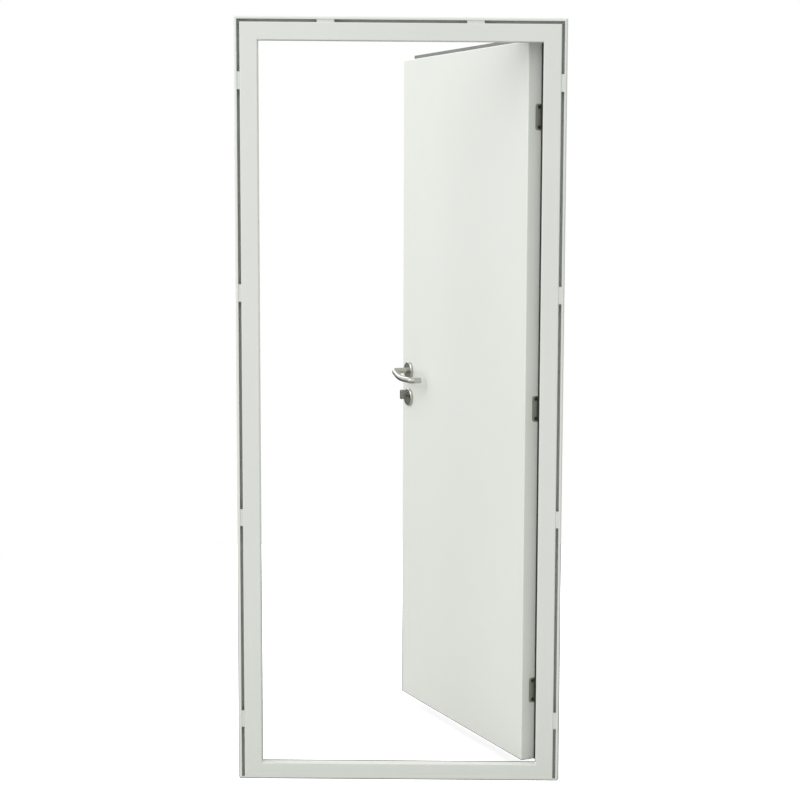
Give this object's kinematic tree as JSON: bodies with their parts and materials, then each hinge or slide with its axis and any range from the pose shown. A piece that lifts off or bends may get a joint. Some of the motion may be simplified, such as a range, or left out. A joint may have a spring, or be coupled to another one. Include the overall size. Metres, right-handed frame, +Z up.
{
  "type": "fire door",
  "caption": "Hinged steel fire door: a flush white leaf standing open in a folded steel frame with a sill, with lever handles, a thumb turn and seals.",
  "frame": {"origin": "middle of the sill's underside, half way through the frame's depth", "axes": "+X to the hinge side, +Y to the side that the leaf opens to, +Z up"},
  "size_m": [0.89, 0.791, 2.09],
  "materials": {
    "frame_coat": "powder coated off-white steel sheet, fine satin texture",
    "leaf_coat": "powder coated white steel sheet, smooth satin",
    "seal_rubber": "mid grey sealing strip, matt",
    "gasket_rubber": "black rubber gasket, matt",
    "hinge_steel": "dark grey plated steel, dull",
    "lock_steel": "zinc plated steel, brushed",
    "stainless": "stainless steel, satin brushed",
    "nickel": "nickel plated brass, satin",
    "mineral_wool": "pressed mineral wool board"
  },
  "bodies": {
    "frame": {"left_jamb": "frame_coat", "right_jamb": "frame_coat", "head": "frame_coat", "sill": "frame_coat", "left_tie_plate_1": "frame_coat", "left_tie_plate_2": "frame_coat", "left_tie_plate_3": "frame_coat", "left_tie_plate_4": "frame_coat", "right_tie_plate_1": "frame_coat", "right_tie_plate_2": "frame_coat", "right_tie_plate_3": "frame_coat", "right_tie_plate_4": "frame_coat", "head_tie_plate_1": "frame_coat", "head_tie_plate_2": "frame_coat", "left_stop_seal": "seal_rubber", "right_stop_seal": "seal_rubber", "head_stop_seal": "seal_rubber", "sill_stop_seal": "seal_rubber", "strike_plate": "lock_steel", "hinge_frame_plate_1": "hinge_steel", "hinge_frame_plate_2": "hinge_steel", "hinge_frame_plate_3": "hinge_steel", "hinge_pin_1": "hinge_steel", "hinge_pin_2": "hinge_steel", "hinge_pin_3": "hinge_steel"},
    "leaf": {"leaf_near_pan": "leaf_coat", "leaf_far_sheet": "leaf_coat", "leaf_core": "mineral_wool", "lock_side_flange_seal": "seal_rubber", "hinge_side_flange_seal": "gasket_rubber", "top_flange_seal": "seal_rubber", "hinge_leaf_plate_1": "hinge_steel", "hinge_leaf_plate_2": "hinge_steel", "hinge_leaf_plate_3": "hinge_steel", "lock_forend": "lock_steel", "latch_bolt": "lock_steel", "dead_bolt": "lock_steel", "lock_cylinder": "nickel", "near_handle_rose": "stainless", "far_handle_rose": "stainless", "near_cylinder_rose": "stainless", "far_cylinder_rose": "stainless"},
    "lever_pair": {"near_lever": "stainless", "far_lever": "stainless", "spindle": "stainless"},
    "turn_knob": {"thumb_turn": "nickel"}
  },
  "joints": [
    {"name": "leaf_swing", "type": "hinge", "parent": "frame", "child": "leaf", "pos_m": [0.3965, 0.054, 1.034], "axis": [0, 0, -1], "range_deg": [-62, 108]},
    {"name": "lever_turn", "type": "hinge", "parent": "leaf", "child": "lever_pair", "pos_m": [0.01904, 0.69254, 1.078], "axis": [0.8829, 0.4695, 0], "range_deg": [0, 35], "stiffness_Nm_per_rad": 2, "springref_deg": -28.65},
    {"name": "thumb_turn_spin", "type": "hinge", "parent": "leaf", "child": "turn_knob", "pos_m": [-0.00259, 0.68103, 1.003], "axis": [-0.8829, -0.4695, 0], "continuous": true}
  ]
}
